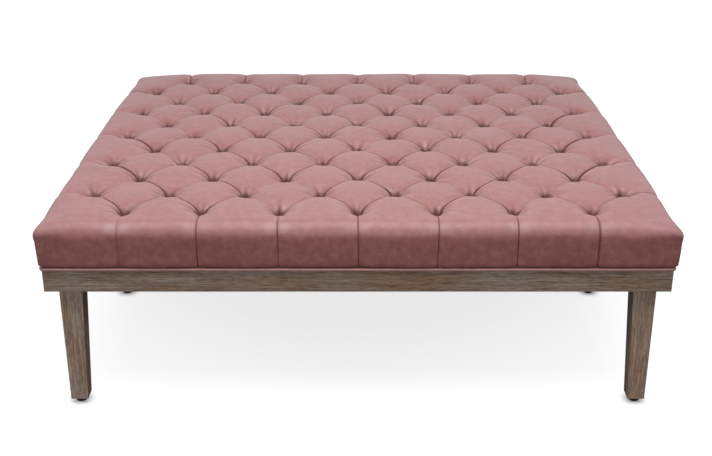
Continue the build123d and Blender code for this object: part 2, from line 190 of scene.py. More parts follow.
def flank(crease_x, crease_y, shoulder_x, face_x, reach):
    """Points from a crease over the shoulder and down to the foot, one column for each crease point."""
    down_top = np.linspace(0, 1, top_steps + 1)[:, None] ** top_grading
    rows = [np.stack(np.broadcast_arrays(
        crease_x + down_top * (shoulder_x - crease_x),
        crease_y + down_top * (shoulder_radius - reach - crease_y),
        crease_height,
    ), -1)]
    turn = np.linspace(0, math.pi / 2, shoulder_steps + 1)[1:, None]
    rows.append(np.stack(np.broadcast_arrays(
        shoulder_x + np.sin(turn) * (face_x - shoulder_x),
        shoulder_radius * (1 - np.sin(turn)) - reach,
        crease_height - shoulder_radius * (1 - np.cos(turn)),
    ), -1))
    down_face = np.sin(np.linspace(0, math.pi / 2, face_steps + 1)[1:, None])
    face_top = crease_height - shoulder_radius
    rows.append(np.stack(np.broadcast_arrays(
        face_x[None, :],
        -reach,
        face_top + down_face * (foot_height - face_top),
    ), -1))
    return np.concatenate(rows)


def turned(points, quarter_turns):
    """Points of the front moved round to another side."""
    for _ in range(quarter_turns):
        points = np.stack((-points[..., 1], points[..., 0], points[..., 2]), -1)
    return points


def carcass_patches():
    """Grids of points over the unstuffed cushion: the whole diamonds, and the sides down to the foot."""
    steps = graded(cell_steps, cell_evenness)
    whole, flanks = [], []
    across, along = np.meshgrid(steps, steps)
    for row in range(1 - outer_row, outer_row):
        for column in range(1 - outer_column, outer_column):
            if (row + column) % 2 == 0:
                x = (column + across - along) * half_pitch
                y = (row - 1 + across + along) * row_pitch
                whole.append(np.stack((x, y, np.full_like(x, crease_height)), -1))
    beside = np.concatenate((steps[:-1] - 1, steps))
    half = steps[: cell_steps // 2 + 1]
    for quarter, pitch, inward, count, tufts, reach, corner in (
        (0, half_pitch, row_pitch, outer_column - 1, outer_row * row_pitch, half_depth, half_width),
        (1, row_pitch, half_pitch, outer_row - 1, outer_column * half_pitch, half_width, half_depth),
    ):
        for turn in (quarter, quarter + 2):
            for centre in range(1 - count, count, 2):
                x = (centre + beside) * pitch
                y = (1 - np.abs(beside)) * inward - tufts
                flanks.append(turned(flank(x, y, x, x, reach), turn))
            last = count * pitch
            x = last + half * pitch
            y = half * inward - tufts
            lean = 1 - (1 - 2 * half) ** corner_lean
            shoulder_x = last + lean * (corner - shoulder_radius - last)
            corner_flank = flank(x, y, shoulder_x, last + lean * (corner - last), reach)
            flanks.append(turned(corner_flank, turn))
            flanks.append(turned(corner_flank[:, ::-1] * np.array((-1, 1, 1)), turn))
    return whole, flanks


def waves(points, length, seed):
    """Smooth unevenness, mostly from -1 to 1, that repeats nowhere over the cushion."""
    draw = np.random.default_rng(seed)
    total = np.zeros(len(points))
    for _ in range(wave_count):
        way = draw.normal(size=3)
        way *= 2 * math.pi / (length * draw.uniform(*wave_lengths) * np.linalg.norm(way))
        total += np.sin(points @ way + draw.uniform(0, 2 * math.pi))
    return total / wave_peak


def ramp(values, start, end):
    """Smooth rise from 0 to 1 between start and end."""
    share = np.clip((values - start) / (end - start), 0, 1)
    return share * share * (3 - 2 * share)


def bell(values, width):
    """Smooth fall from 1 where the value is 0 towards 0 some widths away, on both sides."""
    return np.exp(-((values / width) ** 2))


# How hard each crease is folded, given from 0 for a soft hollow to 4 for a sharp crease: one line
# for each row of creases from the front to the back, each from left to right
fold_hardness = np.array((
    (4, 2, 4, 4, 1, 2, 4, 4, 2, 4, 4, 1, 2, 2),
    (0, 4, 0, 4, 0, 1, 4, 4, 2, 0, 4, 0, 1, 2),
    (4, 2, 4, 2, 3, 3, 3, 4, 4, 4, 1, 3, 3, 3),
    (0, 2, 1, 3, 2, 2, 3, 4, 3, 4, 1, 0, 0, 1),
    (4, 3, 4, 4, 4, 4, 4, 0, 4, 3, 3, 4, 2, 4),
    (0, 1, 1, 3, 4, 4, 4, 2, 4, 0, 0, 1, 4, 0),
    (1, 1, 3, 0, 1, 0, 2, 0, 2, 0, 3, 0, 0, 4),
    (0, 1, 4, 2, 4, 0, 1, 3, 4, 0, 0, 3, 1, 1),
    (1, 2, 0, 3, 1, 3, 0, 2, 1, 4, 1, 2, 3, 0),
    (3, 1, 3, 2, 4, 1, 3, 2, 3, 1, 3, 2, 1, 3),
))
softness_steps = np.array((0.032, 0.014, 0.004, 0.0010, 0.0004))


def softness_of(column, row):
    """How soft the crease is whose middle stands at this column and row."""
    line = np.clip(np.floor(row + outer_row), 0, 2 * outer_row - 1).astype(int)
    place = np.clip(np.floor(column + outer_column), 0, 2 * outer_column - 1).astype(int)
    return softness_steps[fold_hardness[line, place]]


def wall(off, at_back, softness):
    """Share of a puff's wall beside a crease: steep where its own back folds over, slower at its front."""
    reach = np.where(at_back, back_reach, front_reach) + wall_softening * softness
    gap = np.hypot(fold_width * (1 - off), softness) - softness
    return (1 - np.exp(-gap / reach)) / (1 - np.exp(-fold_width / reach)) + wall_least


def puffed(first, second):
    """Height of a puff over its creases. Each pair of creases gives its off, side and softness."""
    walls = (wall(*first) ** -wall_blend + wall(*second) ** -wall_blend - 1) ** (-1 / wall_blend)
    dome = np.clip((1 - first[0] ** 2) * (1 - second[0] ** 2), 0, 1) ** dome_roundness
    return wall_height * walls + dome_height * dome


tuft_places = np.array([
    (column * half_pitch, row * row_pitch)
    for row in range(-outer_row, outer_row + 1)
    for column in range(-outer_column, outer_column + 1)
    if (row + column) % 2 == 1
])


def tuft_wrinkles(offset, distance, nearest):
    """Depth of the short wrinkles that run out from each tuft, and the strength of the painted highlight
    beside each of them.
    """
    draw = np.random.default_rng(41)
    size = (len(tuft_places), wrinkle_count)
    spokes = (np.arange(wrinkle_count) + 0.5) * 2 * math.pi / wrinkle_count
    spokes = spokes + draw.uniform(-wrinkle_swing, wrinkle_swing, size)
    depths = draw.uniform(*wrinkle_depths, size)
    lengths = draw.uniform(*wrinkle_lengths, size)
    angle = np.arctan2(offset[:, 1], offset[:, 0])
    width = wrinkle_width + wrinkle_spread * distance
    valleys, ridge_highlights = np.zeros(len(distance)), np.zeros(len(distance))
    for spoke in range(wrinkle_count):
        lean = angle - spokes[nearest, spoke]
        beside = distance * np.abs(np.sin(lean))
        depth = depths[nearest, spoke] * (np.cos(lean) > 0) * bell(distance, lengths[nearest, spoke])
        valleys += depth * bell(beside, width)
        ridge_highlights += depth * bell(beside - wrinkle_ridge * width, width)
    start = ramp(distance, *wrinkle_start)
    return valleys * start, ridge_highlights * start


def diamond_puffs(x, y):
    """Puffs between four creases: height, the nearest crease's softness, the gap to it, and the side of it.

    The side is true at the front of a puff, where it goes in under the back of the one before it.
    """
    column, row = x / half_pitch, y / row_pitch
    rising, falling = row + column, row - column
    rising_centre, falling_centre = 2 * np.round(rising / 2), 2 * np.round(falling / 2)
    rising_off, falling_off = rising - rising_centre, falling - falling_centre
    rising_edge = rising_centre + np.where(rising_off > 0, 1, -1)
    falling_edge = falling_centre + np.where(falling_off > 0, 1, -1)
    rising_softness = softness_of((rising_edge - falling_centre) / 2, (rising_edge + falling_centre) / 2)
    falling_softness = softness_of((rising_centre - falling_edge) / 2, (rising_centre + falling_edge) / 2)
    by_rising = np.abs(rising_off) > np.abs(falling_off)
    return (
        puffed(
            (np.abs(rising_off), rising_off > 0, rising_softness),
            (np.abs(falling_off), falling_off > 0, falling_softness),
        ),
        np.where(by_rising, rising_softness, falling_softness),
        fold_width * (1 - np.maximum(np.abs(rising_off), np.abs(falling_off))),
        np.where(by_rising, rising_off < 0, falling_off < 0),
    )


def border_puffs(x, y, far_x, far_y, inside):
    """The same four measures with the border, whose puffs have creases on their inner side alone."""
    puff, softness, fold_gap, under = inside
    far_column, far_row = far_x / half_pitch, far_y / row_pitch
    inner_column = 2 * np.round((np.minimum(far_column, outer_column - 1.001) - 1) / 2) + 1
    inner_row = 2 * np.round((np.minimum(far_row, outer_row - 1.001) - 1) / 2) + 1
    front_off, side_off = far_column - inner_column, far_row - inner_row
    front_in, side_in = outer_row - far_row, outer_column - far_column
    in_corner = (far_column > outer_column - 1) & (far_row > outer_row - 1)
    corner = in_corner & (side_in + front_in <= 1 + edge_slack)
    front = ~corner & (front_in <= 1 - np.abs(front_off) + edge_slack)
    side = ~corner & ~front & (side_in <= 1 - np.abs(side_off) + edge_slack)
    hand, end = np.where(x < 0, -1, 1), np.where(y < 0, -1, 1)
    last_column, last_row = np.full_like(x, outer_column - 0.5), np.full_like(x, outer_row - 0.5)
    first_back = y < 0
    for where, first, second, second_back, first_middle, second_middle in (
        (
            front,
            front_in + front_off,
            front_in - front_off,
            y < 0,
            (inner_column + 0.5, last_row),
            (inner_column - 0.5, last_row),
        ),
        (
            side,
            side_in + side_off,
            side_in - side_off,
            y > 0,
            (last_column, inner_row + 0.5),
            (last_column, inner_row - 0.5),
        ),
        (
            corner,
            side_in + front_in,
            np.zeros_like(x),
            y < 0,
            (last_column, last_row),
            (last_column, last_row),
        ),
    ):
        first, second = np.clip(first, 0, 1), np.clip(second, 0, 1)
        first_softness = softness_of(hand * first_middle[0], end * first_middle[1])
        second_softness = softness_of(hand * second_middle[0], end * second_middle[1])
        form = puffed((first, first_back, first_softness), (second, second_back, second_softness))
        by_first = first > second
        puff = np.where(where, form, puff)
        softness = np.where(where, np.where(by_first, first_softness, second_softness), softness)
        fold_gap = np.where(where, fold_width * (1 - np.maximum(first, second)), fold_gap)
        under = np.where(where, np.where(by_first, ~first_back, ~second_back), under)
    return puff, softness, fold_gap, under


def pleated(puff, x, y, on_front, far_x, far_y):
    """The puffs drawn in where the pleats start, and the pleats' slits, the painted highlights beside them,
    and dips.
    """
    slits, sides, dips = np.zeros_like(x), np.zeros_like(x), np.zeros_like(x)
    for position, beyond, count, pitch in (
        (far_x, far_y - outer_row * row_pitch, outer_column - 1, half_pitch),
        (far_y, far_x - outer_column * half_pitch, outer_row - 1, row_pitch),
    ):
        pleat = np.clip(2 * np.round(position / pitch / 2), None, count) * pitch
        gap = np.abs(position - pleat)
        start = ramp(beyond, *pleat_start_rise) * (1 - ramp(beyond, *pleat_start_fall))
        puff = puff * (1 - pleat_start_dip * bell(gap, pleat_start_width) * start)
        slit = np.exp(-((gap / pleat_slit_width) ** 1.6)) * ramp(beyond, *pleat_slit_rise)
        faint = (x < 0) & (y < 0) & on_front & (pleat > faint_pleat_from)
        slits = np.maximum(slits, slit * np.where(faint, faint_pleat_share, 1.0))
        sides = np.maximum(sides, bell(gap - pleat_highlight_gap, pleat_highlight_width) * (beyond > 0))
        dips = dips + pleat_dip * bell(gap, pleat_dip_width) * ramp(beyond, 0.0, pleat_dip_full)
    return puff, slits, sides, dips


def stuffed(points):
    """The carcass points moved out to the stuffed leather, with the masks of its painted shade, painted sheen
    and painted highlights.
    """
    x, y, z = points.T
    hand, end = np.where(x < 0, -1, 1), np.where(y < 0, -1, 1)
    over_x = np.clip(np.abs(x) - (half_width - shoulder_radius), 0, shoulder_radius)
    over_y = np.clip(np.abs(y) - (half_depth - shoulder_radius), 0, shoulder_radius)
    on_front = over_y >= over_x
    over = np.maximum(over_x, over_y)
    turn = np.arcsin(np.clip(over / shoulder_radius, 0, 1))
    upright = np.cos(turn)
    face_drop = np.clip(crease_height - shoulder_radius - z, 0, None)
    extra = shoulder_radius * turn - over + face_drop
    far_x = np.abs(x) + np.where(on_front, 0, extra)
    far_y = np.abs(y) + np.where(on_front, extra, 0)

    lean = np.minimum(over_x, over_y) / np.maximum(over, 1e-9)
    mitre = 0.5 * lean ** 3
    out_x = hand * np.where(on_front, mitre, 1 - mitre)
    out_y = end * np.where(on_front, 1 - mitre, mitre)
    flat = np.hypot(out_x, out_y)
    normal = np.stack((out_x / flat * np.sin(turn), out_y / flat * np.sin(turn), upright), -1)

    puff, softness, fold_gap, under = border_puffs(x, y, far_x, far_y, diamond_puffs(x, y))

    # Pits of the tufts, which the puffs' walls go down into
    offsets = points[:, None, :2] - tuft_places[None]
    distances = np.hypot(offsets[..., 0], offsets[..., 1])
    nearest = distances.argmin(1)
    distance = distances[np.arange(len(points)), nearest]
    offset = offsets[np.arange(len(points)), nearest]
    around = np.arctan2(offset[:, 1], offset[:, 0])
    pull_reach = tuft_pull_reach * (1 - tuft_pull_lean * np.sin(around))
    from_pit = np.hypot(offset[:, 0], offset[:, 1] - pit_behind)
    puff = puff * (1 - tuft_pull * bell(distance, pull_reach)) * ramp(from_pit, pit_inner, pit_outer)
    puff, slits, pleat_highlights, dips = pleated(puff, x, y, on_front, far_x, far_y)

    # Height over the creases, less on the border and the faces
    rise = puff + crease_rise
    border_drop = border_drop_front + (border_drop_back - border_drop_front) * (0.5 + 0.5 * y / half_depth)
    beyond = np.maximum(far_y - outer_row * row_pitch, far_x - outer_column * half_pitch)
    rise = rise - border_drop * ramp(beyond, 0.0, border_drop_reach)
    down = np.clip((crease_height - z) / (crease_height - foot_height), 0, 1)
    face = face_foot + face_bulge * (1 - down ** 1.3) + face_belly * np.sin(math.pi * down)
    rise = rise + (face - rise) * ramp(turn, 0.0, math.pi / 2)
    rise = rise - dips - pleat_slit * slits

    # The foot tucks in over the welt, and the corner tips sit a little lower
    tuck = foot_tuck * (1 - ramp(z, foot_height, foot_height + foot_tuck_height)) ** 2
    in_x = half_width - np.minimum(np.abs(x), half_width)
    in_y = half_depth - np.minimum(np.abs(y), half_depth)
    sharp = (shoulder_radius - corner_radius) * (1 - ramp(np.hypot(in_x, in_y), 0.0, corner_reach))
    tip = np.exp(-np.hypot(in_x, tip_stretch * in_y) / tip_reach)
    sag = (1 - ramp(np.hypot(2 * in_x, in_y), 0.0, back_sag_reach)) * (y > 0)
    pulled = np.stack((
        hand * (sharp - (sharp + tuck) * over_x / shoulder_radius - back_narrowing * sag * (1 - down)),
        end * (sharp - (sharp + tuck) * over_y / shoulder_radius),
        (sharp * (1 - upright) - tip_drop * tip - back_sag * sag) * (1 - down),
    ), -1)

    # The tufts, their pits and wrinkles pull it down, and hand work leaves it all a little uneven
    valleys, ridge_highlights = tuft_wrinkles(offset, distance, nearest)
    rise = rise - crease_rise * bell(distance, crease_rise_reach) * upright
    rise = rise - pit_floor * (1 - ramp(from_pit, pit_floor_edge, pit_outer)) * upright
    rise = rise - valleys * upright
    rise = rise + broad_unevenness * waves(points, 0.19, 5) + fine_unevenness * waves(points, 0.045, 6)
    sway = np.stack([crease_sway * waves(points, 0.26, seed) for seed in (7, 8)] + [np.zeros_like(x)], -1)

    # Painted shade, painted sheen and painted highlights, for the colour: shade darkens the creases, the pits,
    # the pleat slits, the wrinkle valleys and the corner seams
    fold_dark = fold_dark_least + (1 - fold_dark_least) * bell(softness, fold_dark_softness)
    fold_dark = np.where(under, 1.0, fold_dark_over) * fold_dark
    fold_reach = np.where(under, fold_reach_under, fold_reach_over)
    fold = fold_dark * np.exp(-((fold_gap / fold_reach) ** 4)) * (turn < 0.01)
    pit = pit_dark * (1 - ramp(from_pit, *pit_dark_edges))
    fold = np.maximum(np.maximum(fold, seam_dark * slits), pit)
    fold = np.clip(fold + wrinkle_dark * valleys * upright, 0, 1)
    corner_seam = bell(shoulder_radius * (1 - lean), seam_width) * ramp(turn, *seam_turn)
    # How high on its puff and how far from a tuft each point is: the mask of the painted sheen on the crests,
    # and at its low end of the painted shade round the tufts
    high = np.clip(puff / (wall_height + dome_height), 0, 1)
    crest = crest_of_puff * high + (1 - crest_of_puff) * ramp(distance, *crest_edges)
    # Painted highlight along the shoulder's turn, strongest beside the pleats and uneven along it
    shoulder_highlight = bell(turn - highlight_turn, highlight_width) * (highlight_least + (1 - highlight_least) * pleat_highlights)
    shoulder_highlight = shoulder_highlight * (1 - highlight_unevenness + highlight_unevenness * waves(points, 0.05, 9))
    # The attributes: painted shade; crest, the mask of the painted sheen and of the painted shade round the
    # tufts; top, which keeps that to upward surfaces; stretch, the painted highlights
    return points + normal * rise[:, None] + pulled + sway, {
        "fold": np.maximum(fold, seam_dark * corner_seam),
        "crest": crest * upright,
        "top": upright ** 4,
        "stretch": np.clip(np.maximum(wrinkle_highlight * ridge_highlights * upright, shoulder_highlight), 0, 1),
    }


def joined(patches):
    """One list of points for all the patches, and each patch as a grid of places in that list."""
    loose = np.concatenate([patch.reshape(-1, 3) for patch in patches])
    keys = np.floor(loose / merge_size + merge_shift).astype(np.int64)
    _, first, member = np.unique(keys, axis=0, return_index=True, return_inverse=True)
    member = member.reshape(-1)
    grids, start = [], 0
    for patch in patches:
        size = patch.shape[0] * patch.shape[1]
        grids.append(member[start : start + size].reshape(patch.shape[:2]))
        start += size
    return loose[first], grids


def quads(grid):
    """Faces between neighbouring places of a grid."""
    return np.stack((grid[:-1, :-1], grid[:-1, 1:], grid[1:, 1:], grid[1:, :-1]), -1).reshape(-1, 4)


def outward(faces, points, middle):
    """The same faces, each turned so that it looks away from the middle."""
    corners = points[faces]
    normal = np.cross(corners[:, 2] - corners[:, 0], corners[:, 3] - corners[:, 1])
    away = corners.mean(1) - middle
    flip = (normal * away).sum(1) < 0
    faces[flip] = faces[flip][:, ::-1]
    return faces


def mesh_object(name, points, faces):
    """A new mesh object with these points and faces."""
    mesh = bpy.data.meshes.new(name)
    mesh.from_pydata(points.tolist(), [], faces)
    mesh.update()
    made = bpy.data.objects.new(name, mesh)
    bpy.context.scene.collection.objects.link(made)
    return made


def loop_round(rows):
    """The places of rows that join end to end, in their order round the loop."""
    beside = {}
    for row in rows:
        for first, second in zip(row.tolist(), row[1:].tolist()):
            beside.setdefault(first, []).append(second)
            beside.setdefault(second, []).append(first)
    ring = [int(rows[0][0])]
    following = beside[ring[0]][0]
    while following != ring[0]:
        ring.append(following)
        following = next(place for place in beside[following] if place != ring[-2])
    return ring


def turning(loop):
    """Twice the area inside a loop seen from above: positive where it runs anticlockwise."""
    after = np.roll(loop, -1, axis=0)
    return (loop[:, 0] * after[:, 1] - after[:, 0] * loop[:, 1]).sum()


def facing_down(faces, points):
    """The same faces, each turned to look down."""
    for index, face in enumerate(faces):
        corners = points[face]
        if np.cross(corners[1] - corners[0], corners[-1] - corners[0])[2] > 0:
            faces[index] = face[::-1]
    return faces


def cushion_forms():
    """The leather cover, with its cut edge at the foot, and the wadding that fills it."""
    whole, flanks = carcass_patches()
    points, grids = joined(whole + flanks)
    middle = np.array((0.0, 0.0, cushion_middle))
    outer = outward(np.concatenate([quads(grid) for grid in grids]), points, middle)
    formed, wear = stuffed(points)
    shape = mesh_object("shape", formed, outer.tolist())
    normals = np.empty(len(formed) * 3, np.float32)
    shape.data.vertex_normals.foreach_get("vector", normals)
    normals = normals.reshape(-1, 3)
    bpy.data.objects.remove(shape)

    coarse = [grid[::inner_stride, ::inner_stride] for grid in grids]
    used = np.unique(np.concatenate([grid.reshape(-1) for grid in coarse]))
    place = np.full(len(points), -1)
    place[used] = np.arange(len(used))
    skin = place[outward(np.concatenate([quads(grid) for grid in coarse]), points, middle)]
    feet = [place[grid[-1]] for grid in coarse[len(whole):]]

    # Cover: the cut edge joins each step of the inner face to the finer steps outside
    leather_points = np.concatenate((formed, (formed - leather * normals)[used]))
    edge = []
    for grid, foot in zip(grids[len(whole):], feet):
        for index in range(len(foot) - 1):
            start = index * inner_stride
            fine = grid[-1][start : start + inner_stride + 1]
            step = foot[index : index + 2][::-1] + len(formed)
            edge.append([*fine.tolist(), *step.tolist()])
    edge = facing_down(edge, leather_points)
    inner = skin[:, ::-1] + len(formed)
    cover = mesh_object("leather_cover", leather_points, outer.tolist() + inner.tolist() + edge)
    for name, values in wear.items():
        attribute = cover.data.attributes.new(name, "FLOAT", "POINT")
        attribute.data.foreach_set("value", np.concatenate((values, np.zeros(len(used)))).astype(np.float32))

    # Wadding: closed below round the foam
    foam_low, foam_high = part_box("foam_core")
    soft_points = (formed - (leather + wadding_gap) * normals)[used]
    soft_points[:, 2] = np.maximum(soft_points[:, 2], foot_height)
    near_foot = 1 - ramp(soft_points[:, 2], foot_height, foot_height + wadding_draw_height)
    soft_points[:, :2] *= 1 - wadding_draw * near_foot[:, None]
    ring = loop_round(feet)
    if turning(soft_points[ring]) < 0:
        ring.reverse()
    loop = soft_points[ring]
    low = np.stack((
        np.clip(loop[:, 0], foam_low.x, foam_high.x),
        np.clip(loop[:, 1], foam_low.y, foam_high.y),
        np.full(len(loop), foot_height),
    ), -1)
    high = low.copy()
    high[:, 2] = foam_high.z
    low_start = len(soft_points)
    high_start = low_start + len(ring)
    faces = skin.tolist()
    for index in range(len(ring)):
        after = (index + 1) % len(ring)
        faces.append([ring[after], ring[index], low_start + index, low_start + after])
        faces.append([low_start + after, low_start + index, high_start + index, high_start + after])
    faces.append([high_start + index for index in range(len(ring) - 1, -1, -1)])
    wadding = mesh_object("stuffed_wadding", np.concatenate((soft_points, low, high)), faces)
    return cover, wadding


def tidied(made):
    """Merges doubled points, turns the faces out and smooths the shading."""
    bpy.ops.object.select_all(action="DESELECT")
    bpy.context.view_layer.objects.active = made
    made.select_set(True)
    bpy.ops.object.mode_set(mode="EDIT")
    bpy.ops.mesh.select_all(action="SELECT")
    bpy.ops.mesh.remove_doubles(threshold=2e-6)
    bpy.ops.mesh.normals_make_consistent(inside=False)
    bpy.ops.object.mode_set(mode="OBJECT")
    bpy.ops.object.shade_smooth()


# Welt: a cord in its leather strip, run round the foot of the cushion
welt_radius = 0.0035
welt_sides = 16
welt_steps = 60
welt_corner = 0.0095
welt_corner_steps = 6
welt_proud = 0.0048
welt_drop = 0.0007
welt_low, welt_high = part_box("welt")
welt_flange_width = 0.015
welt_flange_inset = 0.0015
welt_flange_thickness = 0.001
welt_waver = 0.0003


def make_welt():
    """The welt's round edge, extruded along each side and spun round each corner, with its flange."""
    reach_x, reach_y = welt_high.x - welt_radius + welt_proud, welt_high.y - welt_radius + welt_proud
    height = welt_low.z + welt_radius - welt_drop
    bpy.ops.object.select_all(action="DESELECT")
    bpy.ops.mesh.primitive_circle_add(
        vertices=welt_sides,
        radius=welt_radius,
        location=(welt_corner - reach_x, -reach_y, height),
        rotation=(0, math.pi / 2, 0),
    )
    tube = bpy.context.object
    tube.name = "welt_piping"
    bpy.ops.object.transform_apply(location=True, rotation=True)
    bpy.ops.object.mode_set(mode="EDIT")
    bpy.ops.mesh.select_all(action="SELECT")
    for quarter, run in enumerate((reach_x, reach_y, reach_x, reach_y)):
        way = (round(math.cos(quarter * math.pi / 2)), round(math.sin(quarter * math.pi / 2)))
        step = 2 * (run - welt_corner) / welt_steps
        move = {"value": (way[0] * step, way[1] * step, 0)}
        for _ in range(welt_steps):
            bpy.ops.mesh.extrude_region_move(TRANSFORM_OT_translate=move)
        side_x = (reach_x - welt_corner) * (1 if quarter in (0, 1) else -1)
        side_y = (reach_y - welt_corner) * (1 if quarter in (1, 2) else -1)
        bpy.ops.mesh.spin(
            steps=welt_corner_steps, angle=-math.pi / 2, center=(side_x, side_y, height), axis=(0, 0, 1)
        )
    bpy.ops.object.mode_set(mode="OBJECT")

    bpy.ops.object.select_all(action="DESELECT")
    bpy.ops.mesh.primitive_plane_add(size=2, location=(0, 0, welt_low.z))
    flange = bpy.context.object
    flange.scale = (reach_x - welt_flange_inset, reach_y - welt_flange_inset, 1)
    bpy.ops.object.transform_apply(location=True, scale=True)
    bpy.ops.object.mode_set(mode="EDIT")
    bpy.ops.mesh.select_all(action="SELECT")
    bpy.ops.mesh.inset(thickness=welt_flange_width - welt_flange_inset)
    bpy.ops.mesh.delete(type="FACE")
    bpy.ops.mesh.select_all(action="SELECT")
    bpy.ops.mesh.extrude_region_move(TRANSFORM_OT_translate={"value": (0, 0, welt_flange_thickness)})
    bpy.ops.object.mode_set(mode="OBJECT")
    tube.select_set(True)
    bpy.context.view_layer.objects.active = tube
    bpy.ops.object.join()
    tidied(tube)
    points = np.empty(len(tube.data.vertices) * 3, np.float32)
    tube.data.vertices.foreach_get("co", points)
    points = points.reshape(-1, 3).astype(float)
    points[:, :2] += welt_waver * waves(points, 0.09, 21)[:, None] * np.sign(points[:, :2])
    tube.data.vertices.foreach_set("co", points.astype(np.float32).reshape(-1))
    tube.data.update()
    return tube


# Dust cover: cambric stapled under the frame and cut round the legs
dust_low, dust_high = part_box("dust_cover")
dust_legs = ("front_left", "front_right", "back_left", "back_right", "middle_left", "middle_right")
dust_window = 0.0295
dust_step = 0.02
dust_thickness = 0.0004
dust_clearance = 0.0002
dust_sag = 0.0022
dust_sag_unevenness = 0.0004
dust_sag_run = 0.214
dust_held_x = 0.66
dust_held_y = 0.585
leg_end_slack = 0.002


def make_dust_cover():
    """The cambric sheet, a little slack between the frame's members."""
    stations = []
    for leg in dust_legs:
        places = [vertex.co for vertex in nodes[f"leg_{leg}"].data.vertices]
        top = [place for place in places if place.z > dust_low.z - leg_end_slack]
        stations.append((sum(place.x for place in top) / len(top), sum(place.y for place in top) / len(top)))
    lines = []
    for axis in range(2):
        low, high = dust_low[axis], dust_high[axis]
        marks = {round(low, 6), round(high, 6)}
        for station in stations:
            marks |= {round(station[axis] - dust_window, 6), round(station[axis] + dust_window, 6)}
        marks = sorted(marks)
        steps = []
        for start, end in zip(marks, marks[1:]):
            count = max(1, round((end - start) / dust_step))
            steps += [start + (end - start) * step / count for step in range(count)]
        lines.append(np.array(steps + [marks[-1]]))
    x, y = np.meshgrid(*lines, indexing="ij")
    hang = np.abs(np.sin(math.pi * x / dust_sag_run)) ** 0.5
    slack_x, slack_y = 1 - (np.abs(x) / dust_held_x) ** 4, 1 - (np.abs(y) / dust_held_y) ** 4
    slack = np.clip(slack_x, 0, 1) * np.clip(slack_y, 0, 1)
    z = dust_high.z - dust_thickness - dust_clearance - dust_sag * slack * hang
    points = np.stack((x, y, z), -1).reshape(-1, 3)
    points[:, 2] -= dust_sag_unevenness * (1 + waves(points, 0.11, 31)) * slack.reshape(-1)
    grid = np.arange(x.size).reshape(x.shape)
    faces = quads(grid)
    middles = points[faces].mean(1)
    keep = np.ones(len(faces), bool)
    for station in stations:
        keep &= (np.abs(middles[:, :2] - station) > dust_window).any(1)
    sheet = mesh_object("cambric_dust_cover", points, faces[keep].tolist())
    tidied(sheet)
    bpy.ops.object.modifier_add(type="SOLIDIFY")
    sheet.modifiers["Solidify"].thickness = dust_thickness
    sheet.modifiers["Solidify"].offset = 0
    bpy.ops.object.modifier_apply(modifier="Solidify")
    return sheet, len(stations)


def feed(node, values):
    """Sets each input to its value, or links it where the value is another node's output."""
    for name, value in values.items():
        if isinstance(value, bpy.types.NodeSocket):
            node.id_data.links.new(value, node.inputs[name])
        else:
            node.inputs[name].default_value = value
    return node


class Finish:
    """A material and short ways to add nodes to it."""

    def __init__(self, name, colour, roughness, metallic=0.0):
        self.material = bpy.data.materials.new(name)
        self.material.use_nodes = True
        self.nodes = self.material.node_tree.nodes
        self.shader = self.nodes["Principled BSDF"]
        feed(self.shader, {"Base Color": (*colour, 1), "Roughness": roughness, "Metallic": metallic})
        self.coordinates = self.nodes.new("ShaderNodeTexCoord").outputs["Object"]

    def noise(self, scale, detail=3.0, stretch=(1, 1, 1), roughness=0.5, distortion=0.0):
        mapping = feed(self.nodes.new("ShaderNodeMapping"), {"Scale": stretch, "Vector": self.coordinates})
        return feed(self.nodes.new("ShaderNodeTexNoise"), {
            "Scale": scale,
            "Detail": detail,
            "Roughness": roughness,
            "Distortion": distortion,
            "Vector": mapping.outputs["Vector"],
        }).outputs["Fac"]

    def cells(self, scale):
        node = self.nodes.new("ShaderNodeTexVoronoi")
        node.feature = "SMOOTH_F1"
        return feed(node, {"Scale": scale, "Vector": self.coordinates}).outputs["Distance"]

    def bands(self, spacing, direction, distortion=0.0):
        node = self.nodes.new("ShaderNodeTexWave")
        node.bands_direction = direction
        feed(node, {"Scale": math.pi / (10 * spacing), "Distortion": distortion, "Vector": self.coordinates})
        return node.outputs["Fac"]

    def ramp(self, source, *stops):
        """Greys or colours that change with the source, each at its own place."""
        node = feed(self.nodes.new("ShaderNodeValToRGB"), {"Fac": source})
        elements = node.color_ramp.elements
        while len(elements) < len(stops):
            elements.new(0.5)
        for element, (position, value) in zip(elements, stops):
            element.position = position
            element.color = (*value, 1) if isinstance(value, tuple) else (value, value, value, 1)
        return node.outputs["Color"]

    def mixed(self, share, first, second, way="MIX"):
        node = self.nodes.new("ShaderNodeMix")
        node.data_type = "RGBA"
        node.blend_type = way
        first, second = ((*value, 1) if isinstance(value, tuple) else value for value in (first, second))
        return feed(node, {0: share, 6: first, 7: second}).outputs[2]

    def maths(self, way, first, second):
        node = self.nodes.new("ShaderNodeMath")
        node.operation = way
        return feed(node, {0: first, 1: second}).outputs[0]

    def attribute(self, name):
        node = self.nodes.new("ShaderNodeAttribute")
        node.attribute_name = name
        return node.outputs["Fac"]

    def bump(self, height, strength, distance):
        node = self.nodes.new("ShaderNodeBump")
        feed(node, {"Height": height, "Strength": strength, "Distance": distance})
        feed(self.shader, {"Normal": node.outputs["Normal"]})

    def colour(self, source):
        feed(self.shader, {"Base Color": source})

    def rough(self, source, low, high):
        feed(self.shader, {"Roughness": self.ramp(source, (0.3, low), (0.7, high))})


# How far the grain of wood is drawn out along each axis
grain_ways = {"x": (0.035, 1, 1), "y": (1, 0.035, 1), "z": (1, 1, 0.035)}


def shaded(colour, share):
    """A colour made darker or lighter."""
    return tuple(part * share for part in colour)


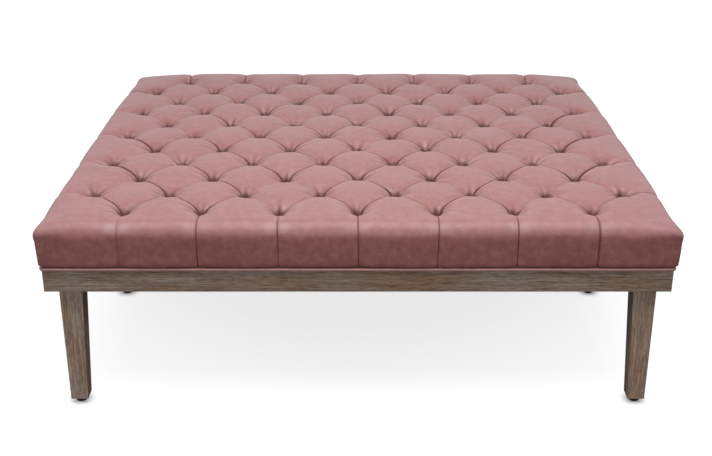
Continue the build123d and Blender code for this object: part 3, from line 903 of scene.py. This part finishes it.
def leather_finish(name, paleness):
    """Rose leather, mottled, with a fine grain, painted shade in its folds, painted sheen on its crests and
    painted highlights; paleness paints a highlight over all of it.
    """
    made = Finish(name, (0.40, 0.16, 0.152), 0.5)
    feed(made.shader, {"Specular IOR Level": 0.30, "Sheen Weight": 0.05, "Sheen Roughness": 0.45})
    broad = made.noise(8.0, 4.0, roughness=0.6)
    small = made.noise(52.0, 6.0, roughness=0.66)
    patches = made.ramp(
        broad,
        (0.34, (0.365, 0.138, 0.130)),
        (0.50, (0.392, 0.153, 0.145)),
        (0.66, (0.412, 0.173, 0.167)),
    )
    flecks = made.ramp(
        small,
        (0.36, (0.30, 0.106, 0.098)),
        (0.50, (0.39, 0.150, 0.141)),
        (0.64, (0.50, 0.225, 0.216)),
    )
    tone = made.mixed(0.5, patches, flecks)
    # Painted sheen: the crests drawn paler and greyer
    crest = made.ramp(made.attribute("crest"), (0.30, 0.0), (1.0, 0.27))
    tone = made.mixed(crest, tone, (0.50, 0.270, 0.275))
    # On upward surfaces only, painted shade darker and redder round the tufts and painted sheen paler and
    # greyer away from them
    hollow = made.ramp(made.attribute("crest"), (0.10, (0.86, 0.80, 0.80)), (0.75, (1.07, 1.17, 1.20)))
    tone = made.mixed(made.attribute("top"), tone, made.mixed(1.0, tone, hollow, "MULTIPLY"))
    # Painted highlight: the stretch attribute and the paleness draw the leather towards a pale pink
    pale = made.maths("ADD", made.maths("MULTIPLY", made.attribute("stretch"), 0.62), paleness)
    tone = made.mixed(pale, tone, (0.66, 0.45, 0.455))
    # Painted shade: darkened towards a deep red in the folds, pits, slits, wrinkles and corner seams
    folded = made.maths("MULTIPLY", made.attribute("fold"), 0.93)
    made.colour(made.mixed(folded, tone, (0.095, 0.025, 0.022)))
    dulled = made.maths("MULTIPLY", made.attribute("fold"), 0.6)
    feed(made.shader, {"Roughness": made.maths("ADD", made.ramp(small, (0.3, 0.36), (0.7, 0.48)), dulled)})
    grain = made.cells(620.0)
    crumple = made.noise(160.0, 5.0, roughness=0.6)
    made.bump(made.maths("ADD", grain, crumple), 0.35, 0.0004)
    return made.material


def weathered_finish(name, along, paleness):
    """Weathered show wood with its grain along one axis."""
    made = Finish(name, (0.14, 0.11, 0.09), 0.8)
    feed(made.shader, {"Specular IOR Level": 0.08})
    way = grain_ways[along]
    streaks = made.noise(230.0, 6.0, way, roughness=0.7)
    flecks = made.noise(360.0, 4.0, tuple(max(part, 0.16) for part in way), roughness=0.7)
    broad = made.noise(26.0, 4.0, tuple(max(part, 0.2) for part in way), roughness=0.6)
    pores = made.noise(620.0, 3.0, way)
    grain = made.maths("ADD", made.maths("MULTIPLY", streaks, 0.55), made.maths("MULTIPLY", flecks, 0.45))
    base = made.ramp(
        grain,
        (0.34, (0.14, 0.094, 0.066)),
        (0.46, (0.27, 0.200, 0.154)),
        (0.56, (0.38, 0.297, 0.240)),
        (0.68, (0.52, 0.432, 0.364)),
    )
    tint = made.ramp(
        broad, (0.36, shaded((0.92, 0.80, 0.70), paleness)), (0.60, shaded((1.02, 1.04, 1.08), paleness))
    )
    tinted = made.mixed(1.0, base, tint, "MULTIPLY")
    made.colour(made.mixed(0.7, tinted, made.ramp(pores, (0.36, 0.55), (0.46, 1.0)), "MULTIPLY"))
    made.rough(streaks, 0.72, 0.88)
    made.bump(made.maths("ADD", grain, pores), 0.5, 0.0006)
    return made.material


def timber_finish(name, along, dark, light):
    """Planed timber with its grain along one axis."""
    made = Finish(name, light, 0.55)
    feed(made.shader, {"Specular IOR Level": 0.25})
    way = grain_ways[along]
    rings = made.noise(70.0, 5.0, way, roughness=0.6, distortion=0.6)
    pores = made.noise(520.0, 3.0, way)
    grain = made.ramp(rings, (0.38, dark), (0.62, light))
    made.colour(made.mixed(0.5, grain, made.ramp(pores, (0.38, 0.72), (0.48, 1.0)), "MULTIPLY"))
    made.rough(rings, 0.5, 0.62)
    made.bump(made.maths("ADD", rings, pores), 0.3, 0.0003)
    return made.material


def ply_finish(name):
    """Plywood: bands of veneer on its edges and a faint grain on its faces."""
    made = Finish(name, (0.50, 0.34, 0.18), 0.6)
    plies = made.bands(0.0028, "Z", 0.4)
    grain = made.noise(90.0, 4.0, grain_ways["x"])
    made.colour(made.mixed(
        0.45,
        made.ramp(plies, (0.35, (0.34, 0.20, 0.10)), (0.65, (0.58, 0.42, 0.24))),
        made.ramp(grain, (0.35, (0.40, 0.26, 0.13)), (0.65, (0.60, 0.44, 0.26))),
    ))
    made.rough(grain, 0.55, 0.68)
    made.bump(made.maths("ADD", plies, grain), 0.25, 0.0002)
    return made.material


def woven_finish(name, colour, spacing):
    """A plain weave."""
    made = Finish(name, colour, 0.9)
    weave = made.maths("MULTIPLY", made.bands(spacing, "X"), made.bands(spacing, "Y"))
    made.colour(made.ramp(weave, (0.1, shaded(colour, 0.55)), (0.7, shaded(colour, 1.5))))
    made.rough(weave, 0.85, 0.95)
    made.bump(weave, 0.5, 0.0003)
    return made.material


def twisted_finish(name, colour):
    """Twine of twisted strands."""
    made = Finish(name, colour, 0.8)
    strands = made.bands(0.0024, "DIAGONAL", 0.5)
    made.colour(made.ramp(strands, (0.15, shaded(colour, 0.55)), (0.6, colour)))
    made.rough(strands, 0.75, 0.88)
    made.bump(strands, 0.7, 0.0005)
    return made.material


def cellular_finish(name, colour, size, depth):
    """Foam or fibre: an open surface of small cells."""
    made = Finish(name, colour, 0.92)
    feed(made.shader, {"Specular IOR Level": 0.15})
    cells = made.cells(1 / size)
    cloud = made.noise(34.0, 5.0, roughness=0.65)
    shade = made.maths("ADD", made.maths("MULTIPLY", cells, 0.6), made.maths("MULTIPLY", cloud, 0.7))
    made.colour(made.ramp(shade, (0.3, shaded(colour, 0.78)), (0.8, colour)))
    made.rough(cloud, 0.86, 0.96)
    made.bump(shade, 0.6, depth)
    return made.material


def plain_finish(name, colour, roughness, metallic=0.0, scale=60.0, variation=0.12):
    """A finish with a little mottling and a fine surface."""
    made = Finish(name, colour, roughness, metallic)
    spots = made.noise(scale, 4.0)
    made.colour(made.ramp(spots, (0.3, shaded(colour, 1 - variation)), (0.7, shaded(colour, 1 + variation))))
    made.rough(spots, max(0.0, roughness - 0.06), min(1.0, roughness + 0.06))
    made.bump(spots, 0.2, 0.0003)
    return made.material


finishes = {
    "rose_leather": leather_finish("rose_leather", 0.0),
    "white_fibre": cellular_finish("white_fibre", (0.82, 0.82, 0.80), 0.006, 0.0012),
    "foam": cellular_finish("foam", (0.74, 0.66, 0.40), 0.0016, 0.0004),
    "plywood": ply_finish("plywood"),
    "twine": twisted_finish("twine", (0.52, 0.44, 0.30)),
    "zinc_steel": plain_finish("zinc_steel", (0.55, 0.55, 0.54), 0.35, 1.0, 240.0, 0.18),
    "black_cambric": woven_finish("black_cambric", (0.020, 0.020, 0.021), 0.0012),
    "black_nylon": plain_finish("black_nylon", (0.006, 0.005, 0.005), 0.85),
}
# Paleness of the weathered wood by its grain's axis: the rails along x and y are drawn darker than the legs
# along z, as painted shade under the cushion's overhang
wood_paleness_and_painted_shade = {"x": 1.22, "y": 1.22, "z": 1.6}
for axis in "xyz":
    weathered, beech, pine = f"weathered_wood_{axis}", f"beech_{axis}", f"pine_{axis}"
    finishes[weathered] = weathered_finish(weathered, axis, wood_paleness_and_painted_shade[axis])
    finishes[beech] = timber_finish(beech, axis, (0.40, 0.23, 0.12), (0.56, 0.36, 0.20))
    finishes[pine] = timber_finish(pine, axis, (0.46, 0.27, 0.11), (0.66, 0.47, 0.24))
for subpart in frame["record"]["subparts"]:
    node, slot = subpart["node"], subpart["material_slot"]
    if slot in ("weathered_wood", "beech", "pine"):
        low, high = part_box(node)
        slot += "_" + "xyz"[max(range(3), key=lambda axis: high[axis] - low[axis])]
    nodes[node].data.materials.clear()
    nodes[node].data.materials.append(finishes[slot])


def dress(piece, slot, *replaced):
    """Gives a new piece its finish and lets it stand for CAD nodes on the table."""
    piece.data.materials.clear()
    piece.data.materials.append(finishes[slot])
    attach(piece, "table")
    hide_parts(*replaced)


cover, wadding = cushion_forms()
cover.data.polygons.foreach_set("use_smooth", [True] * len(cover.data.polygons))
tidied(wadding)
dress(cover, "rose_leather", "tufted_cover")
dress(wadding, "white_fibre", "fibre_wadding")

welt = make_welt()
dress(welt, "rose_leather", "welt")
# The piping gets a paler copy of the leather: a painted highlight along the welt
welt.data.materials[0] = leather_finish("rose_leather_piping", 0.26)

dust_cover, windows = make_dust_cover()
dress(dust_cover, "black_cambric", "dust_cover")

# Studio: floor, light and camera
def floor_finish():
    """A floor bright to the camera, with painted shadow that darkens it towards the table and round what
    stands on it, and plain grey to all other rays.
    """
    made = bpy.data.materials.new("studio_floor")
    made.use_nodes = True
    floor_nodes = made.node_tree.nodes
    floor_nodes.clear()
    # Painted shadow: the glow darkens towards a point just behind the table's middle, and an occlusion node
    # darkens it further within 2 cm of anything on the floor
    away = floor_nodes.new("ShaderNodeVectorMath")
    away.operation = "DISTANCE"
    feed(away, {0: floor_nodes.new("ShaderNodeTexCoord").outputs["Object"], 1: (0.0, 0.35, 0.0)})
    painted_shadow_fade = feed(floor_nodes.new("ShaderNodeMapRange"), {
        "Value": away.outputs["Value"],
        "From Min": 0.56,
        "From Max": 1.10,
        "To Min": 0.785,
        "To Max": 0.95,
    })
    occlusion = feed(floor_nodes.new("ShaderNodeAmbientOcclusion"), {
        "Color": painted_shadow_fade.outputs["Result"],
        "Distance": 0.02,
    })
    glow = feed(floor_nodes.new("ShaderNodeEmission"), {"Color": occlusion.outputs["Color"]})
    shadowed = feed(floor_nodes.new("ShaderNodeBsdfDiffuse"), {"Color": (0.34, 0.34, 0.34, 1)})
    shown = feed(floor_nodes.new("ShaderNodeAddShader"), {0: glow.outputs[0], 1: shadowed.outputs[0]})
    plain = feed(floor_nodes.new("ShaderNodeBsdfDiffuse"), {"Color": (0.24, 0.24, 0.24, 1)})
    choice = feed(floor_nodes.new("ShaderNodeMixShader"), {
        0: floor_nodes.new("ShaderNodeLightPath").outputs["Is Camera Ray"],
        1: plain.outputs[0],
        2: shown.outputs[0],
    })
    feed(floor_nodes.new("ShaderNodeOutputMaterial"), {"Surface": choice.outputs[0]})
    return made


def studio_world():
    """White to the camera, in reflections and through glass, and a dim white light on everything else."""
    made = bpy.data.worlds.new("studio")
    made.use_nodes = True
    world_nodes = made.node_tree.nodes
    ray = world_nodes.new("ShaderNodeLightPath")
    seen = ray.outputs["Is Camera Ray"]
    for way in ("Is Glossy Ray", "Is Transmission Ray"):
        either = world_nodes.new("ShaderNodeMath")
        either.operation = "MAXIMUM"
        seen = feed(either, {0: seen, 1: ray.outputs[way]}).outputs[0]
    level = feed(world_nodes.new("ShaderNodeMapRange"), {"Value": seen, "To Min": 0.085, "To Max": 1.0})
    feed(world_nodes["Background"], {"Color": (1, 1, 1, 1), "Strength": level.outputs["Result"]})
    return made


def soft_lamp(name, place, aim, size, power):
    """A square studio lamp that faces a place."""
    bpy.ops.object.light_add(type="AREA", location=place)
    lamp = bpy.context.object
    lamp.name = name
    lamp.data.shape = "RECTANGLE"
    lamp.data.size, lamp.data.size_y = size
    lamp.data.energy = power
    way = [end - start for start, end in zip(place, aim)]
    flat = math.hypot(way[0], way[1])
    lamp.rotation_euler = (math.atan2(flat, -way[2]), 0, math.atan2(way[0], -way[1]) + math.pi)
    return lamp


bpy.ops.object.select_all(action="DESELECT")
bpy.ops.mesh.primitive_plane_add(size=40, location=(0, 0, 0))
floor = bpy.context.object
floor.name = "floor"
floor.data.materials.append(floor_finish())
bpy.context.scene.world = studio_world()

soft_lamp("overhead_lamp", (0.0, -0.9, 2.8), (0.0, -0.4, 0.4), (3.0, 2.1), 68)
soft_lamp("front_lamp", (0.0, -6.5, 1.9), (0.0, -0.6, 0.3), (1.6, 1.6), 60)
back_lamp = soft_lamp("back_lamp", (0.0, 6.5, 1.9), (0.0, 0.6, 0.3), (1.6, 1.6), 48)
back_lamp.visible_glossy = False

bpy.ops.object.camera_add(location=camera_place, rotation=(math.radians(90 - camera_tilt), 0, 0))
camera = bpy.context.object
camera.data.lens = camera_lens
camera.data.sensor_width = camera_sensor
camera.data.shift_x = camera_shift
bpy.context.scene.camera = camera
bpy.context.scene.view_settings.view_transform = "Standard"
